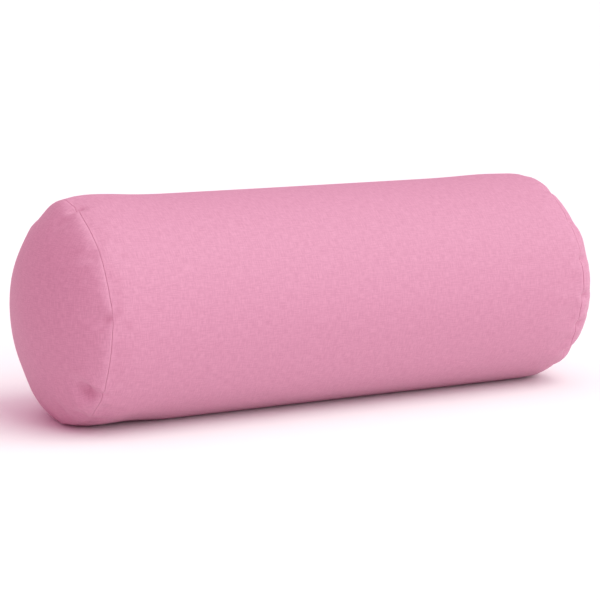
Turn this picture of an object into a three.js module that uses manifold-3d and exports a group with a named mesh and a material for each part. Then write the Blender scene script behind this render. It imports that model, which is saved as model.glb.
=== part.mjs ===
// Bolster pillow: a zipped fabric cover round an inner cushion that holds the fibre filling.
// Millimetres, +Z up. X runs along the bolster, and the zip lies on its +Y side. The origin is on the
// surface that the bolster lies on, under the middle of its length.
import * as THREE from "three";
import { mergeVertices } from "three/addons/utils/BufferGeometryUtils.js";
import Module from "manifold-3d";

const wasm = await Module();
wasm.setup();

// Driving dimensions
const RADIUS = 100; // of the stuffed tube, where it is fullest
const SEAM_TO_SEAM = 480;
const SEAM_RADIUS = 97.3; // the end seams draw the tube in a little
const END_BULGE = 42; // how far an end panel domes out past its seam
const BULGE_POWER = 1.67; // 1 is a cone and 2 an ellipsoid
const TAPER_LENGTH = 30; // the stretch of tube that eases in to each seam
const FLAT_DEPTH = 4; // how far the underside is pressed flat by the bolster's own weight
const SEGMENTS = 48; // facets round the bolster
const FACET = 360 / SEGMENTS;

// Sewing
const CLEARANCE = 0.35; // between pieces that touch on the real object
const COVER_CLOTH = 1;
const LINER_CLOTH = 0.6;
const ALLOWANCE = 9; // cloth turned inwards at each end seam
const GROOVE = 0.9; // depth of the valley where an end panel meets the tube
const THREAD = 0.6;
const OVERLOCK_WIDTH = 1.2;

// Zip. A depth is measured inwards from the outside of the tube, and a span from the zip's centre line.
const ZIP_OPENING = 380;
const ZIP_SLIT = 1.6; // between the two folded edges of the cover
const SEWN_SLIT = 0.4; // between the same edges past the zip, where they are sewn together
const HEM_DEPTH = 2.1; // two thicknesses of cloth
const TAPE = { length: 384, span: [1.2, 13], depth: [2.6, 3.1] };
const COIL = { ends: [-183, 184.1], span: [0.75, 2.5], depth: [3.4, 5.1] };
const STOP = { length: 2.5, span: [0.75, 2.7], depth: [3.4, 5.3], gap: 0.4 };
const STITCH_SPAN = [6, 6 + THREAD];
const SLIDER = { length: 9, width: 7.4, depth: [3.45, 6.4], plate: 0.95, wall: 0.85 };
const NECK = { length: 3.2, width: 0.9, setback: 0.6 };
const CROWN = { length: 7.4, width: 2.2, height: [0.35, 1.15] }; // a height is above the cover
const ARCH = { inside: 2.6, outside: 4.2, width: 2, underside: 2.75, top: 3.35 };
const TAB = { length: 21, width: 5, thickness: 0.9, bar: 0.9, eyelet: 1.1 };
const TAB_WINDOW = { length: 2.75, width: 2.8 };
const PIVOT_HEIGHT = 1.95; // of the pull tab's pivot, above the cover

// The zip presses a channel into the inner cushion.
const CHANNEL_DEPTH = 7.2;
const CHANNEL_ANGLE = 4; // degrees each side of the zip's centre line

// Worked out from the dimensions above
const half = SEAM_TO_SEAM / 2;
const axisHeight = RADIUS - FLAT_DEPTH;
const taperStart = half - TAPER_LENGTH;
const taperMiddle = half - 2 * ALLOWANCE;
const allowanceEdge = half - ALLOWANCE;
const overlockEdge = allowanceEdge - CLEARANCE - OVERLOCK_WIDTH;
const linerDepth = COVER_CLOTH + CLEARANCE;
const turnedEdgeDepth = 2 * COVER_CLOTH + CLEARANCE; // the tube's turned edge lies outside the end panel's
const linerEdgeDepth = turnedEdgeDepth + COVER_CLOTH + CLEARANCE;
const linerSeamX = half - 1;
const linerSeamRadius = SEAM_RADIUS - linerEdgeDepth;
const linerBulge = END_BULGE - COVER_CLOTH + CLEARANCE;
const sliderX = COIL.ends[1] - SLIDER.length / 2;

// ---- Outlines: points at a distance x along the bolster and a radius from its axis ----

const at = (x, radius) => new THREE.Vector2(radius, x);

function tubeRadius(x) {
  const eased = Math.max(0, Math.abs(x) - taperStart) / TAPER_LENGTH;
  return RADIUS - (RADIUS - SEAM_RADIUS) * eased ** 2;
}

// Points inside the tube's own outline, at an even depth below it.
const below = (depth, ...places) => places.map((x) => at(x, tubeRadius(x) - depth));

// A dome from the rim to the pole. Each share is a radius as a part of the rim's radius.
function dome(x, radius, height, firstShare) {
  const shares = [0.99, 0.95, 0.87, 0.74, 0.55, 0.3, 0].filter((share) => share <= firstShare);
  const rise = (share) => (1 - share ** BULGE_POWER) ** (1 / BULGE_POWER);
  return shares.map((share) => at(x + height * rise(share), radius * share));
}

// Mirrors an outline that runs out to +X, so that it runs all the way from -X to +X.
const bothWays = (outline) => [...outline.map((point) => at(-point.y, point.x)).reverse(), ...outline];

// Closes the two ends of such an outline to the axis.
const closedToAxis = (outline) => [at(outline[0].y, 0), ...outline, at(outline.at(-1).y, 0)];

// Closes an outline on itself.
const loop = (outline) => [...outline, outline[0].clone()];

// ---- Solids ----

// Turns an outline about the bolster's axis, with one corner of the polygon on the zip's centre line.
function turned(outline) {
  const axisToX = new THREE.Matrix4().set(0, 1, 0, 0, 0, 0, 1, 0, 1, 0, 0, 0, 0, 0, 0, 1);
  return new THREE.LatheGeometry(outline, SEGMENTS).applyMatrix4(axisToX);
}

// Presses the underside flat. Points near the skin rise by as much as the tube would sink under the
// surface that it lies on, and points nearer the axis rise less.
function settled(geometry) {
  const position = geometry.getAttribute("position");
  const [core, skin] = [0.5 * RADIUS, 0.9 * RADIUS];
  for (let i = 0; i < position.count; i++) {
    const [y, z] = [position.getY(i), position.getZ(i)];
    const sink = Math.sqrt(RADIUS ** 2 - y ** 2) - axisHeight;
    const share = THREE.MathUtils.clamp((Math.hypot(y, z) - core) / (skin - core), 0, 1);
    if (z < 0 && sink > 0) position.setZ(i, z + sink * share);
  }
  return geometry;
}

// Lowers a turned surface to a given depth along the zip, and moves the channel's sides to an angle.
function loweredAlongZip(geometry, depth, sideAngle) {
  const position = geometry.getAttribute("position");
  for (let i = 0; i < position.count; i++) {
    const [x, y, z] = [position.getX(i), position.getY(i), position.getZ(i)];
    const corner = Math.round(THREE.MathUtils.radToDeg(Math.atan2(z, y)) / FACET);
    if (Math.abs(x) > taperStart + 1 || Math.abs(corner) > 1) continue;
    const turn = THREE.MathUtils.degToRad(corner * sideAngle);
    position.setXYZ(i, x, (RADIUS - depth) * Math.cos(turn), (RADIUS - depth) * Math.sin(turn));
  }
  return geometry;
}

// A shape drawn across the bolster, with its first coordinate along Y and its second along Z.
function alongX(shape, start, end) {
  const options = { depth: end - start, bevelEnabled: false, curveSegments: 4 };
  const depthToX = new THREE.Matrix4().set(0, 0, 1, start, 1, 0, 0, 0, 0, 1, 0, 0, 0, 0, 0, 1);
  return new THREE.ExtrudeGeometry(shape, options).applyMatrix4(depthToX);
}

// A box from its low and high limits along each axis.
function block([x0, x1], [y0, y1], [z0, z1]) {
  const geometry = new THREE.BoxGeometry(x1 - x0, y1 - y0, z1 - z0);
  return geometry.translate((x0 + x1) / 2, (y0 + y1) / 2, (z0 + z1) / 2);
}

const middle = (width) => [-width / 2, width / 2];

// Limits along Y of a piece of the zip, from its depths under the cover or its heights above it.
const under = ([shallow, deep]) => [RADIUS - deep, RADIUS - shallow];
const above = ([low, high]) => [RADIUS + low, RADIUS + high];

function toManifold(geometry) {
  const bare = geometry.clone();
  bare.deleteAttribute("normal");
  bare.deleteAttribute("uv");
  const merged = mergeVertices(bare, 1e-4);
  const vertProperties = new Float32Array(merged.getAttribute("position").array);
  const triVerts = new Uint32Array(merged.index.array);
  return new wasm.Manifold(new wasm.Mesh({ numProp: 3, vertProperties, triVerts }));
}

function toGeometry(solid) {
  const mesh = solid.getMesh();
  const geometry = new THREE.BufferGeometry();
  geometry.setAttribute("position", new THREE.BufferAttribute(mesh.vertProperties, 3));
  geometry.setIndex(new THREE.BufferAttribute(mesh.triVerts, 1));
  geometry.computeVertexNormals();
  return geometry;
}

const joined = (...pieces) => toGeometry(pieces.map(toManifold).reduce((all, next) => all.add(next)));
const cut = (...pieces) => toGeometry(pieces.map(toManifold).reduce((rest, tool) => rest.subtract(tool)));

// ---- Outer cover ----

// The tube panel. Its edges are turned in at both end seams and folded back along the zip.
function bodyPanel() {
  const valley = at(half, SEAM_RADIUS - GROOVE);
  const skin = [...below(0, taperStart, taperMiddle, allowanceEdge, half - GROOVE), valley];
  const lining = [
    ...below(COVER_CLOTH, taperStart, taperMiddle, allowanceEdge),
    ...below(2 * COVER_CLOTH, allowanceEdge, half),
    at(half + 1, SEAM_RADIUS - 2 * COVER_CLOTH),
  ];
  const inside = loweredAlongZip(turned(closedToAxis(bothWays(lining))), HEM_DEPTH, FACET);
  const across = [RADIUS / 2, RADIUS + 1];
  return cut(
    settled(turned(closedToAxis(bothWays(skin)))),
    settled(inside),
    block(middle(ZIP_OPENING), across, middle(ZIP_SLIT)),
    block(middle(SEAM_TO_SEAM + 2), across, middle(SEWN_SLIT)),
  );
}

// A round end panel, domed by the filling. Its edge is turned in and lies under the tube's.
function endPanel() {
  const x = half + CLEARANCE;
  const edge = [
    at(x, SEAM_RADIUS - turnedEdgeDepth - COVER_CLOTH),
    ...below(turnedEdgeDepth + COVER_CLOTH, allowanceEdge),
    ...below(turnedEdgeDepth, allowanceEdge),
    at(x, SEAM_RADIUS - turnedEdgeDepth),
    at(x, SEAM_RADIUS - GROOVE),
    at(x + GROOVE, SEAM_RADIUS),
  ];
  const outside = dome(x, SEAM_RADIUS, END_BULGE, 1);
  const inside = dome(x, SEAM_RADIUS - COVER_CLOTH, END_BULGE - COVER_CLOTH, 0.95);
  return settled(turned([...inside.reverse(), ...edge, ...outside]));
}

// A ring of thread with a square section, set on its corner.
function threadRing(x, radius) {
  const reach = THREAD / 2;
  const [bottom, top] = [at(x, radius - reach), at(x, radius + reach)];
  return settled(turned(loop([bottom, at(x - reach, radius), top, at(x + reach, radius)])));
}

// The stitches that show as a fine line in the valley of an end seam.
const endSeamThread = () => threadRing(half + CLEARANCE / 2, SEAM_RADIUS - THREAD / 2);

// Overlock stitches that bind the two cut edges inside an end seam.
function overlockThread() {
  const edges = [overlockEdge, overlockEdge + OVERLOCK_WIDTH];
  const shallow = below(linerDepth, ...edges);
  const deep = below(turnedEdgeDepth + COVER_CLOTH, ...edges);
  return settled(turned(loop([...shallow, ...deep.reverse()])));
}

// The stitches that close the cover past the end of the zip.
function closingSeamThread() {
  const depth = HEM_DEPTH + CLEARANCE;
  return block([TAPE.length / 2 + 1, taperStart - 1], under([depth, depth + THREAD]), middle(THREAD));
}

// ---- Zip: the pieces that come in pairs are drawn for the upper side ----

function zipTape() {
  const [inner, outer] = under(TAPE.depth);
  const [start, end] = TAPE.span.map((span) => span / RADIUS);
  const section = new THREE.Shape();
  section.absarc(0, 0, outer, start, end, false);
  section.absarc(0, 0, inner, end, start, true);
  return alongX(section, ...middle(TAPE.length));
}

const zipCoil = () => block(COIL.ends, under(COIL.depth), COIL.span);

function tapeStitches() {
  const depth = TAPE.depth[1] + CLEARANCE;
  return block(middle(TAPE.length - 4), under([depth, depth + THREAD]), STITCH_SPAN);
}

function topStop() {
  const start = COIL.ends[1] + STOP.gap;
  return block([start, start + STOP.length], under(STOP.depth), STOP.span);
}

function bottomStop() {
  const end = COIL.ends[0] - STOP.gap;
  return block([end - STOP.length, end], under(STOP.depth), middle(2 * STOP.span[1]));
}

// A channel round the two coils, a neck that reaches up through the slit, and an arched crown that
// holds the pull tab. It is drawn round x = 0.
function zipSlider() {
  const [floor, lip] = under(SLIDER.depth);
  const [side, wall, top] = [SLIDER.width / 2, SLIDER.width / 2 - SLIDER.wall, floor + SLIDER.plate];
  const [crownBase, crownTop] = above(CROWN.height);
  const halfChannel = [[top, wall], [lip, wall], [lip, side], [floor, side]];
  const otherHalf = halfChannel.map(([y, z]) => [y, -z]).reverse();
  const channel = new THREE.Shape([...halfChannel, ...otherHalf].map(([y, z]) => new THREE.Vector2(y, z)));
  const neckEnd = SLIDER.length / 2 - NECK.setback;
  const arch = block(middle(ARCH.outside), [crownBase, RADIUS + ARCH.top], middle(ARCH.width));
  const opening = block(middle(ARCH.inside), [crownTop, RADIUS + ARCH.underside], middle(2 * ARCH.width));
  return joined(
    alongX(channel, ...middle(SLIDER.length)),
    block([neckEnd - NECK.length, neckEnd], [floor, crownTop], middle(NECK.width)),
    block(middle(CROWN.length), [crownBase, crownTop], middle(CROWN.width)),
    cut(arch, opening),
  );
}

// The pull tab, lying flat with its pivot at the origin and its free end towards -X. A window behind
// its pivot bar makes room for the slider's arch.
function pullTab() {
  const corner = TAB.width / 2;
  const tip = corner - TAB.length;
  const [front, back] = [-TAB.bar / 2, -TAB.bar / 2 - TAB_WINDOW.length];
  const side = TAB_WINDOW.width / 2;
  const outline = new THREE.Shape();
  outline.moveTo(TAB.bar / 2, -corner);
  outline.lineTo(TAB.bar / 2, corner);
  outline.absarc(tip, 0, corner, Math.PI / 2, 1.5 * Math.PI, false);
  const window = [[front, -side], [front, side], [back, side], [back, -side]];
  outline.holes.push(new THREE.Path(window.map(([x, y]) => new THREE.Vector2(x, y))));
  outline.holes.push(new THREE.Path().absarc(tip, 0, TAB.eyelet, 0, 2 * Math.PI, true));
  const options = { depth: TAB.thickness, bevelEnabled: false, curveSegments: 8 };
  const plate = new THREE.ExtrudeGeometry(outline, options).translate(0, 0, -TAB.thickness / 2);
  return plate.rotateX(-Math.PI / 2);
}

// ---- Inner cushion ----

// Outline of the inner cushion's tube, at a depth inside its own skin.
const cushionTube = (inset) => [
  ...below(linerDepth + inset, taperStart, taperMiddle, overlockEdge - 3),
  ...below(linerEdgeDepth + inset, overlockEdge - 1),
  at(linerSeamX, linerSeamRadius - inset),
];

// The closed inner cushion's tube as one solid, with the zip's channel pressed into it.
const pressedTube = (outline, inset) =>
  settled(loweredAlongZip(turned(closedToAxis(bothWays(outline))), CHANNEL_DEPTH + inset, CHANNEL_ANGLE));

function linerTube() {
  const past = at(linerSeamX + 1, linerSeamRadius - LINER_CLOTH);
  return cut(pressedTube(cushionTube(0), 0), pressedTube([...cushionTube(LINER_CLOTH), past], LINER_CLOTH));
}

function linerEnd() {
  const x = linerSeamX + CLEARANCE;
  const outside = [at(x, linerSeamRadius), ...dome(x, linerSeamRadius, linerBulge, 1)];
  const insideRadius = linerSeamRadius - LINER_CLOTH;
  const inside = [at(x, insideRadius), ...dome(x, insideRadius, linerBulge - LINER_CLOTH, 0.95)];
  return settled(turned([...inside.reverse(), ...outside]));
}

const linerSeamThread = () => threadRing(linerSeamX, linerSeamRadius - LINER_CLOTH - CLEARANCE - THREAD / 2);

// The loose fibre filling, as one solid that fills the liner and clears its seam threads.
function fibreFilling() {
  const inset = LINER_CLOTH + CLEARANCE;
  const seamInset = inset + THREAD + CLEARANCE;
  const tube = cushionTube(inset).slice(0, -1);
  const shoulder = at(linerSeamX - 3, linerSeamRadius - seamInset);
  const end = dome(linerSeamX, linerSeamRadius - seamInset, linerBulge - seamInset, 0.95);
  const outline = bothWays([...tube, shoulder, ...end]);
  return settled(loweredAlongZip(turned(outline), CHANNEL_DEPTH + inset, CHANNEL_ANGLE));
}

// ---- Assembly ----

function finish(color, roughness, metalness) {
  return new THREE.MeshStandardMaterial({ color, roughness, metalness });
}

const canvas = finish(0xe39ab9, 0.9, 0);
const coverThread = finish(0xc97a9e, 0.8, 0);
const tapeWeave = finish(0xd98bac, 0.85, 0);
const nylon = finish(0xd07fa2, 0.35, 0);
const enamel = finish(0xcf7b9f, 0.3, 0.4);
const cotton = finish(0xeeeae2, 0.9, 0);
const linerThread = finish(0xf4f2ec, 0.8, 0);
const fibre = finish(0xfaf9f5, 0.95, 0);

const bolster = new THREE.Group();
bolster.position.z = axisHeight;

function add(name, geometry, material, parent = bolster) {
  const mesh = new THREE.Mesh(geometry, material);
  mesh.name = name;
  parent.add(mesh);
  return mesh;
}

add("cover_body_panel", bodyPanel(), canvas);
add("zip_bottom_stop", bottomStop(), nylon);
add("zip_slider", zipSlider(), enamel).position.x = sliderX;
add("zip_pull_tab", pullTab(), enamel).position.set(sliderX, RADIUS + PIVOT_HEIGHT, 0);
add("liner_tube", linerTube(), cotton);
add("fibre_filling", fibreFilling(), fibre);

// What the two ends have alike is drawn at +X and mirrored for the left end.
for (const [side, mirror] of [["left", -1], ["right", 1]]) {
  const end = new THREE.Group();
  end.scale.x = mirror;
  bolster.add(end);
  add(`cover_end_${side}`, endPanel(), canvas, end);
  add(`end_seam_thread_${side}`, endSeamThread(), coverThread, end);
  add(`overlock_thread_${side}`, overlockThread(), coverThread, end);
  add(`closing_seam_thread_${side}`, closingSeamThread(), coverThread, end);
  add(`liner_end_${side}`, linerEnd(), cotton, end);
  add(`liner_seam_thread_${side}`, linerSeamThread(), linerThread, end);
}

// What the two sides of the zip have alike is drawn above its centre line and mirrored for the lower one.
for (const [side, mirror] of [["upper", 1], ["lower", -1]]) {
  const edge = new THREE.Group();
  edge.scale.z = mirror;
  bolster.add(edge);
  add(`zip_tape_${side}`, zipTape(), tapeWeave, edge);
  add(`zip_coil_${side}`, zipCoil(), nylon, edge);
  add(`zip_top_stop_${side}`, topStop(), nylon, edge);
  add(`zip_tape_stitches_${side}`, tapeStitches(), coverThread, edge);
}

export default bolster;
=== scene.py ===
"""Bolster pillow: sewn canvas cover, puckered end seams, a zip along the back, liner and filling."""

import math

import bmesh
import bpy
import numpy as np
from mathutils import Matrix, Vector


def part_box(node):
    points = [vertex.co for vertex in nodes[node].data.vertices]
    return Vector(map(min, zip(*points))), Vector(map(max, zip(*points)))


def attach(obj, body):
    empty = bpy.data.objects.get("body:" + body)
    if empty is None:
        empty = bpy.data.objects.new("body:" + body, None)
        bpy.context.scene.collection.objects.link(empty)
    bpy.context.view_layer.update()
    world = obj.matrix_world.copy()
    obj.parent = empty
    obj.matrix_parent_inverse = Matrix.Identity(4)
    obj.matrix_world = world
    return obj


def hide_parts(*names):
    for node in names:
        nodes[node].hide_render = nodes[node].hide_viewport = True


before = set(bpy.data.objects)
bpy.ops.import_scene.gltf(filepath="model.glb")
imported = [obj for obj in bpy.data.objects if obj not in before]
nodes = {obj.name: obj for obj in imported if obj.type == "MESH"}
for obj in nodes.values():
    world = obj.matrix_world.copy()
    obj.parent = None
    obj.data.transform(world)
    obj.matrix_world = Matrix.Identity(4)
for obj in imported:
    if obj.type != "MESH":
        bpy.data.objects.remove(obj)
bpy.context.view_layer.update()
MM = 0.001

# ---- Sizes read from the frame ----

TUBE_LOW, TUBE_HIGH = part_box("cover_body_panel")
END_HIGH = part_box("cover_end_right")[1]
TAPE_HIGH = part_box("zip_tape_upper")[1]
COIL_LOW, COIL_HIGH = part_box("zip_coil_upper")
TOPSTITCH_LOW, TOPSTITCH_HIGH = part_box("zip_tape_stitches_upper")
CLOSING_LOW, CLOSING_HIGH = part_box("closing_seam_thread_right")
RADIUS = -TUBE_LOW.y
SEAM_X = TUBE_HIGH.x  # the end seams are at this distance from the middle
AXIS_Z = TUBE_HIGH.z - RADIUS
END_BULGE = END_HIGH.x - SEAM_X
SEAM_RADIUS = END_HIGH.z - AXIS_Z
TAPE_PAST_ZIP = 2 * MM
ZIP_HALF = TAPE_HIGH.x - TAPE_PAST_ZIP  # half the length of the zip's opening
TOPSTITCH_OFFSET = (TOPSTITCH_LOW.z + TOPSTITCH_HIGH.z) / 2 - AXIS_Z  # from the zip's centre line

# ---- Cloth ----

CLOTH = 0.5 * MM
TAPER = 30 * MM  # the stretch of tube that eases in to an end seam
BULGE_POWER = 1.67  # of an end panel's outline: 1 is a cone and 2 an ellipsoid
FOLD = 0.55 * MM  # radius of the cloth's folded edges
SEAM_GAP = 0.05 * MM  # half the gap between two sewn edges
JOGGLE_ROOM = 0.1 * MM  # how much wider the joggle's lower bend is than a fold
ZIP_GAP = 0.7 * MM  # half the gap over the zip
ZIP_GAP_FADE = 1.5 * MM  # how gradually the gap closes at the zip's two ends
ZIP_GAP_REACH = 8 * MM  # how far round the cover its cloth is moved aside by the gap
ALLOWANCE = 9 * MM  # cloth turned in at an end seam
HEM = 11 * MM  # cloth turned in along the zip
SHORT_HEM = 2 * MM  # and past it, near the end seams
HEM_CHANGE = 5 * MM  # the length over which the one becomes the other
FLOOR_SOFTNESS = 1.0 * MM  # how gently the underside turns from round to flat

# The cover's mesh is finest beside its edges.
SEGMENTS = 384  # round the bolster
EDGE_STEP = 0.8 * MM  # the first step in from an edge
TUBE_STEP, TUBE_GROWTH = 8 * MM, 1.2  # the longest step along the tube, and how fast steps grow to it
PANEL_STEP, PANEL_GROWTH = 6 * MM, 1.2  # the same towards the middle of an end panel
ROUND_GROWTH = 1.25  # and round the tube
PANEL_FINEST = 0.7 * MM  # points round an end panel come no closer together than this
LONGEST_LAST_STEP = 1.5  # the last step may be this many times too long, so that it meets its end

# ---- The bolster's shape ----
# A place on the cover is an angle in degrees, from the zip at the back (0), over the top (90), to the
# front (180) and the underside (270), and a distance along its outline from the middle of the tube. Past
# SEAM_X, that distance runs on over an end panel's dome.

DOME_SAMPLES = 600
RIM_CROWDING = 1.5  # above 1, the samples lie closer together at the rim


def dome_outline():
    """Lengths along an end panel from rim to pole, with the height, radius and outward normal there."""
    turn = np.linspace(0, 1, DOME_SAMPLES) ** RIM_CROWDING
    share = np.cos(turn * math.pi / 2)
    height = END_BULGE * (1 - share**BULGE_POWER) ** (1 / BULGE_POWER)
    radius = SEAM_RADIUS * share
    step_h, step_r = np.diff(height), np.diff(radius)
    length = np.concatenate([[0], np.cumsum(np.hypot(step_h, step_r))])
    normal = np.arctan2(-step_r, step_h)
    normal = np.concatenate([[0], (normal[1:] + normal[:-1]) / 2, [math.pi / 2]])
    return length, height, radius, normal


DOME_LENGTH, DOME_HEIGHT, DOME_RADIUS, DOME_NORMAL = dome_outline()
POLE = SEAM_X + DOME_LENGTH[-1]


def outline(place):
    """The position along X, the radius and the tilt of the outward normal at places along the outline."""
    far = np.abs(place)
    past = np.maximum(far - SEAM_X, 0)
    inner = np.minimum(far, SEAM_X)
    eased = np.maximum(0, inner - (SEAM_X - TAPER)) / TAPER
    tube = RADIUS - (RADIUS - SEAM_RADIUS) * eased**2
    radius = np.where(past > 0, np.interp(past, DOME_LENGTH, DOME_RADIUS), tube)
    height = np.interp(past, DOME_LENGTH, DOME_HEIGHT)
    tilt = np.interp(past, DOME_LENGTH, DOME_NORMAL)
    return np.sign(place) * (inner + height), radius, np.sign(place) * tilt


# Dents at the end seams, where the stitches gather the cloth. Each has its angle, its distance from the
# seam (on the tube, or below 0 on the end panel), its depth, its reach across the seam and along it, how
# far it is turned out of square in degrees, how high a rim it raises and how sharp a pinch it has in its
# middle. Lengths are in millimetres. Rims and pinches are shares of the depth.
LEFT_DENTS = [
    (106, 0, 3.0, 9, 5.4, 12, 1.0, 0.4),
    (173.5, -4, 2.3, 11, 5.5, -30, 0.8, 0.4),
    (216.5, -15, 6.3, 13.5, 9.0, 20, 1.0, 0.1),
    (215, -1, 1.7, 7, 4.5, 0, 0.6, 0.6),
    (238, -2, 0.7, 10, 7.0, 0, 0.8, 0.3),
    (262, 0, 0.8, 10, 7.0, 0, 0.8, 0.3),
    (318, -3, 1.8, 12, 7.0, 15, 0.9, 0.5),
    (20, 0, 1.4, 11, 6.0, -15, 0.9, 0.6),
    (60, -3, 1.2, 11, 7.0, 15, 0.8, 0.5),
    (140, -3, 0.6, 8, 6.0, 10, 0.6, 0.3),
]
RIGHT_DENTS = [
    (114, 0, 2.2, 12, 7.5, 10, 0.9, 0.2),
    (140, -2, 1.7, 8, 6.0, -10, 1.0, 0.4),
    (163, -2, 2.8, 9, 6.0, 10, 1.0, 0.4),
    (184, -2, 2.8, 8, 5.8, -8, 1.0, 0.4),
    (201, -2, 3.0, 9, 5.8, 10, 1.0, 0.4),
    (220, -5, 4.6, 13, 6.6, 0, 1.0, 0.3),
    (235, -5, 3.0, 13, 6.6, 5, 1.0, 0.3),
    (254, -1, 1.4, 9, 6.5, 5, 0.9, 0.4),
    (290, -2, 1.5, 10, 7.0, -10, 0.8, 0.5),
    (335, 0, 1.8, 11, 6.5, 15, 0.9, 0.6),
    (30, -2, 1.6, 11, 6.5, 5, 0.9, 0.5),
    (72, 0, 1.4, 10, 6.5, -10, 0.9, 0.5),
]
DENTS = {-1: LEFT_DENTS, 1: RIGHT_DENTS}

# Broad hollows, and swellings whose depth is below 0, in the same terms but with no rim and no pinch
LEFT_HOLLOWS = [
    (48, -24, 3.0, 20, 24, 0),
    (72, -13, 3.6, 12, 24, 0),
    (320, -28, 2.0, 22, 26, 0),
    (229, -15, -1.8, 14, 6, 20),
    (285, -20, -1.0, 18, 32, 0),
    (256, 42, 3.0, 24, 24, 0),
    (92, 30, -3.2, 36, 30, 0),
]
RIGHT_HOLLOWS = [
    (120, -14, 3.4, 12, 32, 0),
    (92, 44, -1.8, 34, 30, 0),
    (200, -28, -2.4, 16, 30, 0),
]
HOLLOWS = {
    side: [hollow + (0, 0) for hollow in hollows]
    for side, hollows in ((-1, LEFT_HOLLOWS), (1, RIGHT_HOLLOWS))
}
PINCH_SHARPNESS = 4.5
PULL = 0.30  # how far a dent draws its seam in along the bolster, as a share of its depth
PULL_REACH = 14  # how far from the dent that is felt along the bolster, in millimetres
PULL_SPREAD = 1.8  # and round it, as a multiple of the dent's own reach
GATHER_DEPTH = 0.16  # of the small ripples between the stitches of an end seam, in millimetres
GATHER_REACH = 7  # how far from the seam they are felt, in millimetres
GATHER_WAVES = (71, 97, 58)  # ripples round the seam, as three trains of waves
TOPSTITCH_DEPTH = 0.3  # of the line that the zip's topstitching presses in to the cover, in millimetres
TOPSTITCH_WIDTH = 1.3 * MM
TOPSTITCH_FADE = 3 * MM

# How far each seam wanders towards +X, in millimetres, as (angle, distance)
LEFT_WANDER = [
    (60, 0.3),
    (106, -0.3),
    (140, 0.1),
    (175, 2.2),
    (192, 1.2),
    (215, -2.5),
    (240, -1.5),
    (300, 0.5),
]
RIGHT_WANDER = [(20, 0.5), (90, -0.5), (150, 0), (180, 0.4), (215, -0.4), (270, 0.4)]
WANDER = {-1: LEFT_WANDER, 1: RIGHT_WANDER}
WANDER_SPREAD = 26  # degrees over which one such distance counts
WANDER_RETURN = 0.15  # how strongly the seam comes back to its plane between them
WANDER_REACH = 22 * MM


def turn_from(centre, angle):
    """The signed turn from centre to angle, in degrees."""
    return (angle - centre + 180) % 360 - 180


def inside(distance, softness):
    """1 where a distance is well below 0, and 0 where it is well above."""
    return 1 / (1 + np.exp(distance / softness))


def dents_at(place, angle, radius):
    """How far the dents press the cover in, and how far they draw it along X."""
    press = np.zeros(np.broadcast(place, angle).shape)
    draw = np.zeros(press.shape)
    for side in (-1, 1):
        away = (SEAM_X - side * place) / MM
        for centre, start, depth, across, along, turn, rim, pinch in DENTS[side] + HOLLOWS[side]:
            a = away - start
            b = np.radians(turn_from(centre, angle)) * radius / MM
            c, s = math.cos(math.radians(turn)), math.sin(math.radians(turn))
            square = ((a * c + b * s) / across) ** 2 + ((b * c - a * s) / along) ** 2
            press += depth * (1 - rim * square) * np.exp(-square)
            if rim > 0:
                press += pinch * depth * np.exp(-PINCH_SHARPNESS * square)
                far = (a / PULL_REACH) ** 2 + (b / (PULL_SPREAD * along)) ** 2
                draw -= side * PULL * depth * np.exp(-far)
        waves = [np.sin(np.radians(angle * count) + count) for count in GATHER_WAVES]
        ripple = sum(waves) / len(waves)
        press += GATHER_DEPTH * ripple * np.exp(-((away / GATHER_REACH) ** 2))
    beside_zip = np.abs(turn_from(0, angle)) * math.pi / 180 * RADIUS - TOPSTITCH_OFFSET
    along_zip = inside(np.abs(place) - ZIP_HALF, TOPSTITCH_FADE)
    press += TOPSTITCH_DEPTH * np.exp(-((beside_zip / TOPSTITCH_WIDTH) ** 2)) * along_zip
    return press * MM, draw * MM


def seam_wander(place, angle):
    """How far the seams' uneven lines shift the cover along X."""
    total = np.zeros(np.broadcast(place, angle).shape)
    for side, points in WANDER.items():
        away = (SEAM_X - side * place) / WANDER_REACH
        weights = [np.exp(-((turn_from(centre, angle) / WANDER_SPREAD) ** 2)) for centre, _ in points]
        drawn = sum(weight * distance for weight, (_, distance) in zip(weights, points))
        total += np.exp(-(away**2)) * drawn / (sum(weights) + WANDER_RETURN)
    return total * MM


def points_at(place, angle, deep=0.0):
    """Points of the cover, or deep under it."""
    x, radius, tilt = outline(place)
    press, draw = dents_at(place, angle, radius)
    turn = np.radians(angle)
    flat = np.cos(tilt)
    normal = np.stack(np.broadcast_arrays(np.sin(tilt), flat * np.cos(turn), flat * np.sin(turn)), -1)
    x = x + seam_wander(place, angle) + draw
    ring = [x, radius * np.cos(turn), AXIS_Z + radius * np.sin(turn)]
    points = np.stack(np.broadcast_arrays(*ring), -1) - press[..., None] * normal
    points = points + slack(place, angle)
    points[..., 2] = FLOOR_SOFTNESS * np.logaddexp(points[..., 2] / FLOOR_SOFTNESS, 0)
    return points - (deep + np.zeros(press.shape))[..., None] * normal


# ---- Cloth simulation ----
# The whole cover is blown up from inside as one closed skin whose end seams are gathered. What the
# simulation moves, apart from the even swelling all round, is kept as soft unevenness.

SIM_COLUMNS = 120
SIM_STEP = 5 * MM
SIM_FINEST = 0.5 * SIM_STEP
SIM_FRAMES = 20
SIM_QUALITY = 5
SIM_PRESSURE = 4
SIM_STIFFNESS = 25
SIM_BENDING = 0.3
SIM_SHRINK = (-0.02, 0.06)  # of the skin where it isn't gathered, and where it is gathered most
GATHER_LEAST = 0.3  # how much an end seam is gathered between its dents
GATHER_SPREAD = 6  # degrees each side of a dent over which it is gathered more
SIM_CAP = 2.5 * MM
ZIP_STIFFENS = 16  # degrees each side of the zip over which it holds the cover straight
sim_places = None
sim_moves = None


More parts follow.
